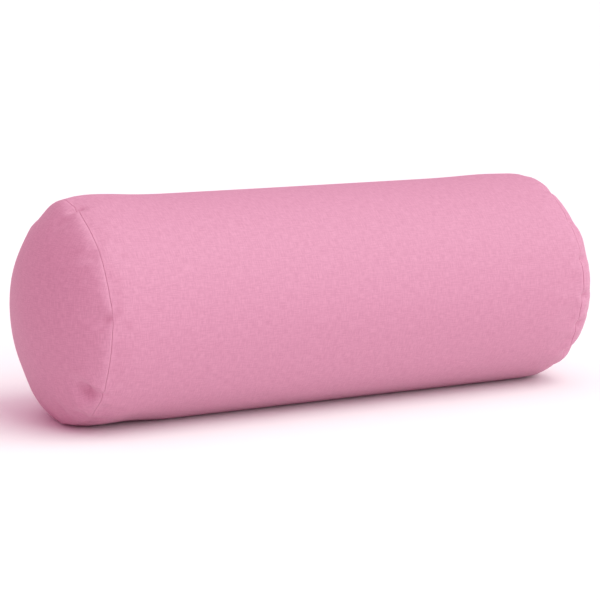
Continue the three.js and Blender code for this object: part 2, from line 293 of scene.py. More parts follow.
def slack(place, angle):
    """What the simulation adds at places on the cover."""
    place, angle = np.broadcast_arrays(place, angle)
    if sim_places is None:
        return np.zeros(place.shape + (3,))
    last = len(sim_places) - 1
    row = np.clip((place - sim_places[0]) / (sim_places[1] - sim_places[0]), 0, last)
    column = (angle % 360) / 360 * SIM_COLUMNS
    i, j = np.floor(row).astype(int), np.floor(column).astype(int)
    moved = 0
    for m, weight_m in cubic(row - i, i):
        for n, weight_n in cubic(column - j, j):
            weight = (weight_m * weight_n)[..., None]
            moved = moved + weight * sim_moves[np.clip(m, 0, last), n % SIM_COLUMNS]
    past_zip = np.clip((np.abs(place) - ZIP_HALF) / TAPER, 0, 1)
    from_zip = np.abs(turn_from(0, angle)) / ZIP_STIFFENS
    moved = moved * np.maximum(past_zip, 1 - np.exp(-(from_zip**4)))[..., None]
    x, out, sideways = moved[..., 0], moved[..., 1], moved[..., 2]
    c, s = np.cos(np.radians(angle)), np.sin(np.radians(angle))
    return np.stack([x, out * c - sideways * s, out * s + sideways * c], -1)


def cubic(t, first):
    """The four neighbours of a point between two samples, each with its weight on a smooth curve."""
    return (
        (first - 1, ((1 - t) ** 3) / 6),
        (first, (3 * t**3 - 6 * t**2 + 4) / 6),
        (first + 1, (-3 * t**3 + 3 * t**2 + 3 * t + 1) / 6),
        (first + 2, t**3 / 6),
    )


def coarse_skin(places):
    """A closed skin with a ring of points at each of some places: the piece, its points and its rings."""
    rings, points, faces = [], [], []
    for place in places:
        columns = columns_at(place, SIM_COLUMNS, SIM_FINEST)
        ring = np.arange(columns) + len(points)
        points += list(points_at(np.full(columns, place), np.arange(columns) * 360 / columns))
        if rings:
            faces += band(rings[-1], ring)
        rings.append(ring)
    left, right = len(points), len(points) + 1
    points += list(points_at(np.array([-POLE, POLE]), np.zeros(2)))
    faces += [(left, b, a) for a, b in zip(rings[0], np.roll(rings[0], -1))]
    faces += [(right, a, b) for a, b in zip(rings[-1], np.roll(rings[-1], -1))]
    return new_piece("skin", points, faces), np.array(points), rings


def mark_gathers(skin, places, rings, angles):
    """Marks how strongly the stitches gather each point of the skin's two end seams."""
    gather = skin.vertex_groups.new(name="gather")
    for side, dents in DENTS.items():
        ring = rings[int(np.argmin(np.abs(places - side * SEAM_X)))]
        for index, angle in zip(ring, angles):
            near = sum(math.exp(-((turn_from(dent[0], angle) / GATHER_SPREAD) ** 2)) for dent in dents)
            gather.add([int(index)], min(1.0, GATHER_LEAST + near), "REPLACE")


def blow_up(skin):
    """Runs the cloth simulation and gives the points that it ends with."""
    cloth = skin.modifiers.new("cloth", "CLOTH")
    cloth.settings.quality = SIM_QUALITY
    cloth.settings.use_pressure = True
    cloth.settings.uniform_pressure_force = SIM_PRESSURE
    cloth.settings.effector_weights.gravity = 0
    cloth.settings.tension_stiffness = SIM_STIFFNESS
    cloth.settings.compression_stiffness = SIM_STIFFNESS
    cloth.settings.bending_stiffness = SIM_BENDING
    cloth.settings.vertex_group_shrink = "gather"
    cloth.settings.shrink_min, cloth.settings.shrink_max = SIM_SHRINK
    cloth.point_cache.frame_start = 1
    cloth.point_cache.frame_end = SIM_FRAMES
    for step in range(1, SIM_FRAMES + 1):
        bpy.context.scene.frame_set(step)
    blown = skin.evaluated_get(bpy.context.evaluated_depsgraph_get()).to_mesh()
    end = np.empty(3 * len(blown.vertices))
    blown.vertices.foreach_get("co", end)
    return end.reshape(-1, 3)


def simulate():
    """Blows up a coarse skin and keeps how each of its points moves along X, outwards and round."""
    global sim_places, sim_moves
    places = np.linspace(-POLE, POLE, 2 * round(POLE / SIM_STEP) + 1)
    angles = np.arange(SIM_COLUMNS) * 360 / SIM_COLUMNS
    skin, start, rings = coarse_skin(places[1:-1])
    mark_gathers(skin, places[1:-1], rings, angles)
    moves = blow_up(skin) - start
    table = np.zeros((len(places), SIM_COLUMNS, 3))
    for i, ring in enumerate(rings):
        turn = np.radians(np.arange(len(ring)) * 360 / len(ring))
        x, y, z = moves[ring].T
        out = y * np.cos(turn) + z * np.sin(turn)
        sideways = z * np.cos(turn) - y * np.sin(turn)
        ring_angles = np.append(np.degrees(turn), 360)
        for k, move in enumerate((x, out, sideways)):
            table[i + 1, :, k] = np.interp(angles, ring_angles, np.append(move, move[0]))
    table -= table.mean(axis=1, keepdims=True)
    sim_moves = SIM_CAP * np.tanh(table / SIM_CAP)
    sim_places = places
    bpy.data.objects.remove(skin)
    bpy.context.scene.frame_set(1)


# ---- Meshes ----


def new_piece(name, points, faces, cloth=None):
    """A smooth mesh object. cloth is where each of its points lies on the flat cloth."""
    mesh = bpy.data.meshes.new(name)
    points = np.asarray(points).reshape(-1, 3).tolist()
    mesh.from_pydata(points, [], [[int(i) for i in face] for face in faces])
    mesh.update()
    if cloth is not None:
        layer = mesh.attributes.new("cloth", "FLOAT_VECTOR", "POINT")
        layer.data.foreach_set("vector", np.asarray(cloth).reshape(-1).astype(np.float32))
    mesh.polygons.foreach_set("use_smooth", [True] * len(mesh.polygons))
    piece = bpy.data.objects.new(name, mesh)
    bpy.context.scene.collection.objects.link(piece)
    return piece


def columns_at(place, most, finest):
    """How many points go round at a place: most, halved until they are no closer together than finest."""
    length = 2 * math.pi * float(outline(np.array(place))[1])
    while length / most < finest:
        most //= 2
    return most


def band(outer, inner):
    """Faces between two closed rings. Either has as many points as the other, or one has twice as many."""
    if len(inner) > len(outer):
        return [face[::-1] for face in band(inner, outer)]
    faces = []
    n, m = len(outer), len(inner)
    for j in range(m):
        d, e = inner[j], inner[(j + 1) % m]
        if n == m:
            faces.append((outer[j], outer[(j + 1) % n], e, d))
            continue
        a, b, c = outer[2 * j], outer[2 * j + 1], outer[(2 * j + 2) % n]
        faces += [(a, b, d), (b, e, d), (b, c, e)]
    return faces


def thicken(piece, thickness):
    """Makes a surface in to cloth, inwards from its outer face."""
    solid = piece.modifiers.new("thickness", "SOLIDIFY")
    solid.thickness = thickness
    solid.offset = -1


def steps(first, growth, largest, reach):
    """Distances that start at 0 and take longer and longer steps up to reach, which they meet."""
    places, step = [0.0], first
    while places[-1] + LONGEST_LAST_STEP * step < reach:
        places.append(places[-1] + step)
        step = min(step * growth, largest)
    return np.array(places + [reach])


def mirrored(row, total=None):
    """Numbers and then the same ones backwards, or if there is a total, what each of them leaves of it."""
    back = row[..., -2::-1]
    return np.concatenate([row, back if total is None else total - back], -1)


# A turned edge and a joggled edge are each given as three rows of numbers, from the cut edge out to the
# fold: how far each point is from the seam, how deep it is, and how far along the cloth.


def turned_edge(width, bends=6):
    """A cloth edge folded back under itself. The first row is measured from the fold's crest."""
    bend = np.linspace(math.pi, 0, bends + 1)
    under = width - FOLD
    away = np.concatenate([[width, FOLD + under / 2, FOLD + under / 8], FOLD * (1 - np.sin(bend))])
    deep = np.concatenate([[2 * FOLD] * 3, FOLD * (1 - np.cos(bend))])
    flat = -math.pi * FOLD - np.array([under, under / 2, under / 8])
    along = np.concatenate([flat, -FOLD * bend])
    return away, deep, along


def joggled_edge(width, bends=4):
    """An end panel's edge, which steps down past a turned edge's fold and runs on under it."""
    inner = FOLD + JOGGLE_ROOM
    depth = FOLD + inner
    bend = np.linspace(0, math.pi / 2, bends + 1)
    start = inner - SEAM_GAP
    flat = np.array([-width, -start - (width - start) / 2, -start - (width - start) / 8])
    away = np.concatenate([flat, inner * np.sin(bend) - start, SEAM_GAP + FOLD * (1 - np.cos(bend[1:]))])
    deep = np.concatenate([[depth] * 3, FOLD + inner * np.cos(bend), FOLD * (1 - np.sin(bend[1:]))])
    along = -np.concatenate([[0], np.cumsum(np.hypot(np.diff(away), np.diff(deep)))])[::-1]
    return away, deep, along


# ---- Cover ----


def tube_rows():
    """Rows of points from one end of the tube to the other: places, depths and ways along the cloth."""
    away, deep, along = turned_edge(ALLOWANCE)
    rest = steps(EDGE_STEP, TUBE_GROWTH, TUBE_STEP, SEAM_X - SEAM_GAP - FOLD)
    away = np.concatenate([away, FOLD + rest[1:]]) + SEAM_GAP
    deep = np.concatenate([deep, 0 * rest[1:]])
    along = np.concatenate([along, rest[1:]]) - SEAM_X
    return mirrored(away - SEAM_X, 0), mirrored(deep), mirrored(along, 0)


def tube_columns(place):
    """Points round the tube, from edge to edge of the zip: arc lengths, depths and ways round the cloth.

    The edges are turned in less near the end seams, so the first and the last hold a line for each row.
    """
    whole_turn = 2 * math.pi * RADIUS
    side = steps(EDGE_STEP, ROUND_GROWTH, whole_turn / SEGMENTS, whole_turn / 2 - FOLD)
    short = np.clip((np.abs(place) - (SEAM_X - TAPER)) / HEM_CHANGE, 0, 1)[:, None]
    wide_away, deep, wide_along = turned_edge(HEM)
    short_away, _, short_along = turned_edge(SHORT_HEM)
    hem_away = wide_away + (short_away - wide_away) * short
    hem_along = wide_along + (short_along - wide_along) * short
    ones = np.ones((len(place), 1))
    arc = np.concatenate([hem_away, ones * (FOLD + side[1:])], 1)
    deep = np.concatenate([deep, 0 * side[1:]])
    along = np.concatenate([hem_along, ones * side[1:]], 1)
    open_share = inside(np.abs(place) - ZIP_HALF, ZIP_GAP_FADE)[:, None]
    gap = SEAM_GAP + (ZIP_GAP - SEAM_GAP) * open_share
    arc = arc + gap * np.exp(-arc / ZIP_GAP_REACH)
    return mirrored(arc, whole_turn), mirrored(deep), mirrored(along, whole_turn)


def tube_panel():
    """The tube of the cover: one rectangle of canvas whose long edges meet at the zip."""
    place, row_deep, row_along = tube_rows()
    arc, column_deep, column_along = tube_columns(place)
    deep = row_deep[:, None] + column_deep[None, :]
    points = points_at(place[:, None], np.degrees(arc / RADIUS), deep)
    from_seam = np.abs(SEAM_X - np.abs(row_along))[:, None]
    from_zip = np.abs(math.pi * RADIUS - np.abs(column_along - math.pi * RADIUS))
    edge = np.minimum(from_seam, from_zip)
    cloth = np.stack([row_along[:, None] + 0 * arc, column_along, edge], -1)
    rows, columns = arc.shape
    faces = []
    for i in range(rows - 1):
        for j in range(columns - 1):
            a = i * columns + j
            faces.append((a, a + 1, a + columns + 1, a + columns))
    piece = new_piece("cover_tube", points, faces, cloth)
    thicken(piece, CLOTH)
    return piece


def end_panel(side, name):
    """A round end panel, domed by the filling, with its edge turned in under the tube's."""
    away, deep, along = joggled_edge(ALLOWANCE)
    rest = steps(EDGE_STEP, PANEL_GROWTH, PANEL_STEP, POLE - SEAM_X - SEAM_GAP - FOLD)
    away = np.concatenate([away, SEAM_GAP + FOLD + rest[1:-1]])
    deep = np.concatenate([deep, 0 * rest[1:-1]])
    along = np.concatenate([along, rest[1:-1]])
    points, cloth, faces, rings = [], [], [], []
    for ring_away, ring_deep, ring_along in zip(away, deep, along):
        place = side * (SEAM_X + ring_away)
        columns = columns_at(place, SEGMENTS, PANEL_FINEST)
        angle = np.arange(columns) * 360 / columns
        ring = np.arange(columns) + len(points)
        points += list(points_at(np.full(columns, place), angle, ring_deep))
        from_middle = rest[-1] - ring_along
        turn = np.radians(angle)
        edge = 0 * turn + abs(ring_along)
        cloth += list(np.stack([from_middle * np.cos(turn), from_middle * np.sin(turn), edge], -1))
        if rings:
            faces += band(rings[-1], ring)
        rings.append(ring)
    pole = len(points)
    points += list(points_at(np.array([side * POLE]), np.zeros(1)))
    cloth.append(np.array([0, 0, rest[-1]]))
    faces += [(a, b, pole) for a, b in zip(rings[-1], np.roll(rings[-1], -1))]
    if side < 0:
        faces = [face[::-1] for face in faces]
    piece = new_piece(name, np.array(points), faces, np.array(cloth))
    thicken(piece, CLOTH)
    return piece


# ---- Inner cushion ----

LINER_CLOTH = 0.5 * MM
LINER_GAP = 0.05 * MM  # half the gap between two of its sewn edges
FILLING_GAP = 0.6 * MM  # from the inside of the liner to the filling
LINER_DEEP = 1.9 * MM  # from the outside of the cover to the outside of the liner
LINER_SEAM_DEEP = 3.9 * MM  # the same under the turned edges of an end seam
LINER_SEAM_HALF = 0.8 * ALLOWANCE  # how far that goes on each side of their middle
LINER_SEAM_FADE = 1 * MM
CHANNEL_DEEP = 7.2 * MM  # the same under the zip
CHANNEL_ANGLE = 6.0  # degrees on each side of the zip
CHANNEL_PAST_ZIP = 8 * MM
CHANNEL_FADE = 4 * MM
LINER_COLUMNS = 192
LINER_STEP = 5 * MM
LINER_FINEST = 0.3 * LINER_STEP
LINER_POLE = 1 * MM  # a skin that comes this close to a pole closes at it
LINER_WEAR = 1  # metres from the nearest edge: too far for the liner to look worn anywhere


def liner_depth(place, angle):
    """How deep the liner's outside lies under the cover's."""
    from_edges = np.abs(SEAM_X - ALLOWANCE / 2 - np.abs(place))
    seam = inside(from_edges - LINER_SEAM_HALF, LINER_SEAM_FADE)
    zip_length = inside(np.abs(place) - ZIP_HALF - CHANNEL_PAST_ZIP, CHANNEL_FADE)
    channel = np.exp(-((turn_from(0, angle) / CHANNEL_ANGLE) ** 4)) * zip_length
    return LINER_DEEP + (LINER_SEAM_DEEP - LINER_DEEP) * seam + (CHANNEL_DEEP - LINER_DEEP) * channel


def inner_skin(name, start, end, inset=0.0):
    """A skin that follows the cover from inside, from one place to another. It closes at a pole."""
    start, end = sorted((start, end))
    places = np.linspace(start, end, round(abs(end - start) / LINER_STEP) + 1)
    points, faces, rings, cloth = [], [], [], []
    for place in places:
        radius = float(outline(np.array(place))[1])
        if radius < LINER_POLE:
            continue
        columns = columns_at(place, LINER_COLUMNS, LINER_FINEST)
        angle = np.arange(columns) * 360 / columns
        ring = np.arange(columns) + len(points)
        points += list(points_at(np.full(columns, place), angle, liner_depth(place, angle) + inset))
        ones = np.ones(columns)
        cloth += list(np.stack([place * ones, np.radians(angle) * radius, LINER_WEAR * ones], -1))
        if rings:
            faces += band(rings[-1], ring)
        rings.append(ring)
    for place, ring, order in ((start, rings[0], -1), (end, rings[-1], 1)):
        if abs(place) < POLE - LINER_POLE:
            continue
        pole = len(points)
        points += list(points_at(np.array([place]), np.zeros(1), LINER_DEEP + inset))
        cloth.append(np.array([place, 0, LINER_WEAR]))
        faces += [(a, b, pole)[::order] for a, b in zip(ring, np.roll(ring, -1))]
    return new_piece(name, np.array(points), faces, np.array(cloth))


# ---- Thread ----

THREAD = 0.16 * MM  # radius of the sewing thread
FINE_THREAD = 0.12 * MM
TAPERED = 0.55  # a stitch's two ends are this share of its thickness
STEEP = 0.8  # how far a path climbs, from 0 to 1, for its tube to be squared against X and not Z
LADDER_DEEP, LADDER_DIP = 0.95 * MM, 0.25 * MM


def stitches(name, paths, radius, sides=6):
    """Short lengths of thread, each a tube with tapered ends along its own path."""
    points, faces = [], []
    turns = np.arange(sides) * 2 * math.pi / sides
    for path in paths:
        path = np.asarray(path)
        ahead = np.gradient(path, axis=0)
        ahead /= np.linalg.norm(ahead, axis=1)[:, None]
        guide = np.array([0.1, 0.2, 1.0] if abs(ahead[0][2]) < STEEP else [1.0, 0.2, 0.1])
        across = np.cross(ahead, guide)
        across /= np.linalg.norm(across, axis=1)[:, None]
        up = np.cross(across, ahead)
        start = len(points)
        thick = np.full(len(path), radius)
        thick[0] = thick[-1] = TAPERED * radius
        for centre, u, v, r in zip(path, across, up, thick):
            points += [centre + r * (math.cos(t) * u + math.sin(t) * v) for t in turns]
        for i in range(len(path) - 1):
            for j in range(sides):
                a, b = start + i * sides + j, start + i * sides + (j + 1) % sides
                faces.append((a, b, b + sides, a + sides))
        faces.append(tuple(range(start, start + sides))[::-1])
        last = start + (len(path) - 1) * sides
        faces.append(tuple(range(last, last + sides)))
    return new_piece(name, np.array(points), faces)


def ladder_depth(reach):
    """How deep a ladder stitch lies in its seam, from -1 at one end to 1 at the other."""
    return LADDER_DEEP + LADDER_DIP * reach**2


def end_seam_stitches(side, name):
    """Ladder stitches that draw the two edges of an end seam together, down in its valley."""
    pitch, half_length, lean = 2.6 * MM, 0.55 * MM, 0.105  # the lean is in degrees round the seam
    count = round(2 * math.pi * SEAM_RADIUS / pitch)
    reach = np.linspace(-1, 1, 7)
    place = side * (SEAM_X + half_length * reach)
    angles = (np.arange(count) + 0.5) * 360 / count
    paths = [points_at(place, angle + lean * reach, ladder_depth(reach)) for angle in angles]
    return stitches(name, paths, THREAD)


def overlock(side, name):
    """Overlock thread wound round the two cut edges inside an end seam. It stops short of the zip."""
    loops, points_each = 260, 10
    short_of_zip = 8  # degrees
    from_edge, half_width, middle_deep, half_depth = 0.5 * MM, 1.0 * MM, 1.65 * MM, 0.8 * MM
    t = np.arange(loops * points_each + 1) / points_each
    turn = 2 * math.pi * t
    place = side * (SEAM_X - ALLOWANCE + from_edge - half_width * np.cos(turn))
    angle = short_of_zip + t * (360 - 2 * short_of_zip) / loops
    deep = middle_deep + half_depth * np.sin(turn)
    return stitches(name, [points_at(place, angle, deep)], FINE_THREAD, sides=5)


def liner_stitches(side, name):
    """The running stitch that joins a liner end panel to the liner's tube."""
    pitch, share, from_seam = 3 * MM, 0.75, 0.5 * MM  # a stitch fills that share of its pitch
    sunk, rise = 0.1 * MM, 0.3 * MM
    count = round(2 * math.pi * SEAM_RADIUS / pitch)
    reach = np.linspace(0, 1, 5)
    place = side * (SEAM_X - from_seam) + 0 * reach
    deep = LINER_SEAM_DEEP + sunk - rise * np.sin(math.pi * reach)
    paths = [points_at(place, (k + share * reach) * 360 / count, deep) for k in range(count)]
    return stitches(name, paths, THREAD, sides=5)


def zip_side_stitches(sign, name):
    """Topstitching that holds the cover to the zip's tape, one row on each side of the slit."""
    pitch, length, sunk, rise = 3.2 * MM, 2.5 * MM, 0.45 * MM, 0.55 * MM
    bluntness = 0.7  # below 1, a stitch rises sooner and lies flatter
    start, end = -TOPSTITCH_HIGH.x, TOPSTITCH_HIGH.x
    reach = np.linspace(0, 1, 7)
    angle = sign * math.degrees(TOPSTITCH_OFFSET / RADIUS) + 0 * reach
    deep = sunk - rise * np.sin(math.pi * reach) ** bluntness
    count = int((end - start) / pitch)
    paths = [points_at(start + k * pitch + reach * length, angle, deep) for k in range(count)]
    return stitches(name, paths, THREAD)


def closing_stitches(side, name):
    """Ladder stitches that close the cover past one end of the zip."""
    pitch, lean, half_length = 2.2 * MM, 0.2 * MM, 0.6 * MM
    reach = np.linspace(-1, 1, 7)
    angle = np.degrees(half_length * reach / RADIUS)
    paths = []
    for k in range(int((CLOSING_HIGH.x - CLOSING_LOW.x) / pitch)):
        place = side * (CLOSING_LOW.x + (k + 0.5) * pitch + lean * reach)
        paths.append(points_at(place, angle, ladder_depth(reach)))
    return stitches(name, paths, THREAD)


# ---- Zip ----


def zip_coil(sign, name):
    """A nylon coil: one long spring of flattened loops, sewn along the tape's edge."""
    pitch, points_each, wire = 1.3 * MM, 12, 0.23 * MM
    from_middle = 0.62 * MM  # from the zip's centre line to the loops
    flatness = 0.7  # below 1, a loop stays longer at its near and far sides
    near, far = AXIS_Z + sign * from_middle, AXIS_Z + sign * (COIL_HIGH.z - AXIS_Z)
    middle_z, half_z = (near + far) / 2, abs(far - near) / 2 - wire
    middle_y, half_y = (COIL_LOW.y + COIL_HIGH.y) / 2, (COIL_HIGH.y - COIL_LOW.y) / 2 - wire
    loops = int((COIL_HIGH.x - COIL_LOW.x - 2 * wire) / pitch)
    t = np.arange(loops * points_each + 1) / points_each
    wave_z, wave_y = np.cos(2 * math.pi * t), np.sin(2 * math.pi * t)
    shape_z = np.sign(wave_z) * np.abs(wave_z) ** flatness
    shift = pitch / 4 if sign < 0 else 0  # the lower coil starts a quarter of a loop further on
    x = COIL_LOW.x + wire + t * pitch + shift
    path = np.stack([x, middle_y + half_y * wave_y, middle_z - sign * half_z * shape_z], -1)
    return stitches(name, [path], wire)


def eased_copy(node, name):
    """A rigid CAD piece again, with its sharp edges eased."""
    weld, flat_within, sharp_over, easing = 0.01 * MM, math.radians(2), math.radians(35), 0.14 * MM
    piece = bpy.data.objects.new(name, node.data.copy())
    bpy.context.scene.collection.objects.link(piece)
    mesh = bmesh.new()
    mesh.from_mesh(piece.data)
    bmesh.ops.remove_doubles(mesh, verts=mesh.verts, dist=weld)
    bmesh.ops.dissolve_limit(mesh, angle_limit=flat_within, verts=mesh.verts, edges=mesh.edges)
    sharp = [e for e in mesh.edges if len(e.link_faces) == 2 and e.calc_face_angle(0) > sharp_over]
    bmesh.ops.bevel(mesh, geom=sharp, offset=easing, segments=2, affect="EDGES", clamp_overlap=True)
    bmesh.ops.triangulate(mesh, faces=mesh.faces)
    mesh.to_mesh(piece.data)
    mesh.free()
    return piece


# ---- Materials ----


class Nodes:
    """A short way to write a material's nodes."""

    def __init__(self, name):
        self.material = bpy.data.materials.new(name)
        self.material.use_nodes = True
        self.tree = self.material.node_tree
        self.shader = self.tree.nodes["Principled BSDF"]

    def node(self, kind, **values):
        node = self.tree.nodes.new("ShaderNode" + kind)
        for key, value in values.items():
            setattr(node, key, value)
        return node

    def feed(self, socket, value):
        if isinstance(value, bpy.types.NodeSocket):
            self.tree.links.new(value, socket)
        else:
            socket.default_value = value

    def math(self, operation, a, b=0.0):
        node = self.node("Math", operation=operation)
        self.feed(node.inputs[0], a)
        self.feed(node.inputs[1], b)
        return node.outputs[0]

    def contrast(self, value, middle, strength):
        """How far a value is above a middle one, times strength."""
        return self.math("MULTIPLY", self.math("SUBTRACT", value, middle), strength)

    def noise(self, vector, scale, detail, roughness=0.5):
        node = self.node("TexNoise")
        self.feed(node.inputs["Vector"], vector)
        node.inputs["Scale"].default_value = scale
        node.inputs["Detail"].default_value = detail
        node.inputs["Roughness"].default_value = roughness
        return node.outputs["Fac"]

    def scaled(self, vector, factors):
        node = self.node("VectorMath", operation="MULTIPLY")
        self.feed(node.inputs[0], vector)
        node.inputs[1].default_value = factors
        return node.outputs[0]

    def colours(self, share, dark, light):
        """A base colour between two."""
        node = self.node("Mix", data_type="RGBA")
        self.feed(node.inputs["Factor"], share)
        self.feed(node.inputs[6], dark)
        self.feed(node.inputs[7], light)
        self.feed(self.shader.inputs["Base Color"], node.outputs[2])

    def roughness(self, least, variation, share):
        """A roughness that rises from its least by some share of a variation."""
        rise = self.math("MULTIPLY", variation, share)
        self.feed(self.shader.inputs["Roughness"], self.math("ADD", least, rise))

    def bump(self, height, distance, strength):
        node = self.node("Bump")
        node.inputs["Distance"].default_value = distance
        node.inputs["Strength"].default_value = strength
        self.feed(node.inputs["Height"], height)
        self.feed(self.shader.inputs["Normal"], node.outputs[0])


# Canvas
ALONG_YARN, ACROSS_YARN = 130, 1150  # how many times a yarn's tone varies in a metre
BLOTCHES = 250  # the same for the softer blotches over several yarns
BLOTCH_SHARE = 0.24
HALFWAY = 0.5  # from the dark colour to the light one
MEAN_TONE, TONE_CONTRAST = 1.12, 2.2
MEAN_RIDGE, RIDGE_CONTRAST = 0.4, 0.5
WEAR, WEAR_WIDTH = 0.7, 1.2 * MM  # a folded edge is paler over this width


def canvas(name, dark, light, threads_per_mm):
    """Plain-weave canvas with uneven yarns. Its pattern follows the cloth's own coordinates, in metres."""
    n = Nodes(name)
    cloth = n.node("Attribute", attribute_name="cloth").outputs["Vector"]
    split = n.node("SeparateXYZ")
    n.feed(split.inputs[0], cloth)
    u, v, from_edge = split.outputs
    frequency = math.pi * threads_per_mm / MM
    along = n.math("SINE", n.math("MULTIPLY", u, frequency))
    across = n.math("SINE", n.math("MULTIPLY", v, frequency))
    ridges = n.math("ABSOLUTE", n.math("MULTIPLY", along, across))
    warp = n.noise(n.scaled(cloth, (ALONG_YARN, ACROSS_YARN, 0)), scale=1.0, detail=3.0)
    weft = n.noise(n.scaled(cloth, (ACROSS_YARN, ALONG_YARN, 0)), scale=1.0, detail=3.0)
    yarns = n.math("ADD", warp, weft)
    blotches = n.noise(n.scaled(cloth, (BLOTCHES, BLOTCHES, 0)), scale=1.0, detail=2.0)
    worn = n.math("EXPONENT", n.math("MULTIPLY", from_edge, -1 / WEAR_WIDTH))
    tone = n.math("ADD", yarns, n.math("MULTIPLY", blotches, BLOTCH_SHARE))
    shade = n.math("ADD", n.contrast(tone, MEAN_TONE, TONE_CONTRAST), HALFWAY)
    shade = n.math("ADD", shade, n.contrast(ridges, MEAN_RIDGE, RIDGE_CONTRAST))
    shade = n.math("ADD", shade, n.math("MULTIPLY", worn, WEAR))
    n.colours(shade, dark, light)
    n.roughness(least=0.58, variation=yarns, share=0.08)
    n.shader.inputs["Sheen Weight"].default_value = 0.1
    n.shader.inputs["Sheen Roughness"].default_value = 0.5
    n.shader.inputs["Specular IOR Level"].default_value = 0.6
    height = n.math("MULTIPLY", n.math("ADD", ridges, yarns), 0.5)
    n.bump(height, distance=0.12 * MM, strength=0.6)
    return n.material


def plain(name, colour, roughness, coat=0.0):
    """Moulded nylon or enamelled metal: nearly one colour, with a slightly uneven surface."""
    n = Nodes(name)
    variation = n.noise(n.node("TexCoord").outputs["Object"], scale=900.0, detail=2.0)
    n.colours(variation, darker(colour, 0.9), colour)
    n.roughness(least=roughness - 0.05, variation=variation, share=0.1)
    n.shader.inputs["Coat Weight"].default_value = coat
    n.bump(variation, distance=0.02 * MM, strength=0.5)
    return n.material


def ribbed(name, colour, directions, pitch, roughness):
    """Thread or woven tape: fine ribs square to each of some directions."""
    rib_share = 0.35
    n = Nodes(name)
    position = n.node("TexCoord").outputs["Object"]
    ribs = None
    for direction in directions:
        dot = n.node("VectorMath", operation="DOT_PRODUCT")
        n.feed(dot.inputs[0], position)
        dot.inputs[1].default_value = direction
        wave = n.math("SINE", n.math("MULTIPLY", dot.outputs["Value"], 2 * math.pi / pitch))
        ribs = wave if ribs is None else n.math("MULTIPLY", ribs, wave)
    fuzz = n.noise(position, scale=1500.0, detail=3.0)
    height = n.math("ADD", n.math("MULTIPLY", ribs, rib_share), fuzz)
    n.colours(height, darker(colour, 0.72), colour)
    n.roughness(least=roughness, variation=fuzz, share=0.1)
    n.bump(height, distance=0.06 * MM, strength=0.6)
    return n.material


def fluff(name, colour):
    """Loose polyester fibre, tangled in soft clumps."""
    stretch, strand_share = (300, 1500, 900), 0.4
    n = Nodes(name)
    position = n.node("TexCoord").outputs["Object"]
    clumps = n.noise(position, scale=60.0, detail=6.0, roughness=0.6)
    strands = n.noise(n.scaled(position, stretch), scale=1.0, detail=5.0, roughness=0.7)
    height = n.math("ADD", clumps, n.math("MULTIPLY", strands, strand_share))
    n.colours(height, darker(colour, 0.8), colour)
    n.roughness(least=0.85, variation=strands, share=0.1)
    n.bump(height, distance=2 * MM, strength=0.8)
    return n.material


def darker(colour, share):
    """A colour at a share of its brightness."""
    return tuple(share * channel for channel in colour[:3]) + (1,)


# ---- Studio ----
# The light from all round is pink and the two lamps are a little green. Together they leave the floor
# white, and the side of the bolster that the lamps reach least is a richer pink.

FLOOR_SIZE = 120
FLOOR_COLOUR = (0.95, 0.95, 0.95, 1)
FLOOR_ROUGHNESS = 0.9
WHITE = (1, 1, 1, 1)
AMBIENT_COLOUR = (1, 0.47, 0.69, 1)
AMBIENT_STRENGTH = 0.70
SOFTNESS = math.radians(70)  # how much of the sky each lamp fills
KEY = {"towards": (0.448, -0.594, 0.669), "colour": (0.73, 1.0, 0.885), "strength": 2.4}
TOP = {"towards": (0, 0, 1), "colour": (0.62, 1.0, 0.83), "strength": 0.9}
CAMERA_AZIMUTH = math.radians(-29)  # from straight in front, towards the left end
CAMERA_ELEVATION = math.radians(9)
CAMERA_DISTANCE = 1.80
CAMERA_LENS = 117
CAMERA_SENSOR = 36
AIM_LEFT, AIM_DOWN = 8.4 * MM, 5.7 * MM  # what the camera aims at, from the middle of the bolster


def surroundings():
    """Pink light from all round, which is itself seen as plain white past the edge of the floor."""
    world = bpy.data.worlds.new("studio")
    world.use_nodes = True
    tree = world.node_tree
    glow = tree.nodes["Background"]
    glow.inputs["Color"].default_value = AMBIENT_COLOUR
    glow.inputs["Strength"].default_value = AMBIENT_STRENGTH
    backdrop = tree.nodes.new("ShaderNodeBackground")
    backdrop.inputs["Color"].default_value = WHITE
    ray = tree.nodes.new("ShaderNodeLightPath")
    either = tree.nodes.new("ShaderNodeMixShader")
    tree.links.new(ray.outputs["Is Camera Ray"], either.inputs[0])
    tree.links.new(glow.outputs[0], either.inputs[1])
    tree.links.new(backdrop.outputs[0], either.inputs[2])
    tree.links.new(either.outputs[0], tree.nodes["World Output"].inputs["Surface"])
    return world


def lay_floor():
    """A pale floor under the bolster."""
    bpy.ops.mesh.primitive_plane_add(size=FLOOR_SIZE, location=(0, 0, 0))
    floor = bpy.context.object
    floor.name = "floor"
    paint = bpy.data.materials.new("pale floor")
    paint.use_nodes = True
    shader = paint.node_tree.nodes["Principled BSDF"]
    shader.inputs["Base Color"].default_value = FLOOR_COLOUR
    shader.inputs["Roughness"].default_value = FLOOR_ROUGHNESS
    floor.data.materials.append(paint)


def sun(name, towards, colour, strength):
    """A broad light. towards points from the bolster to the light."""
    lamp = bpy.data.lights.new(name, "SUN")
    lamp.color = colour
    lamp.energy = strength
    lamp.angle = SOFTNESS
    light = bpy.data.objects.new(name, lamp)
    light.rotation_euler = Vector(towards).to_track_quat("Z", "Y").to_euler()
    bpy.context.scene.collection.objects.link(light)


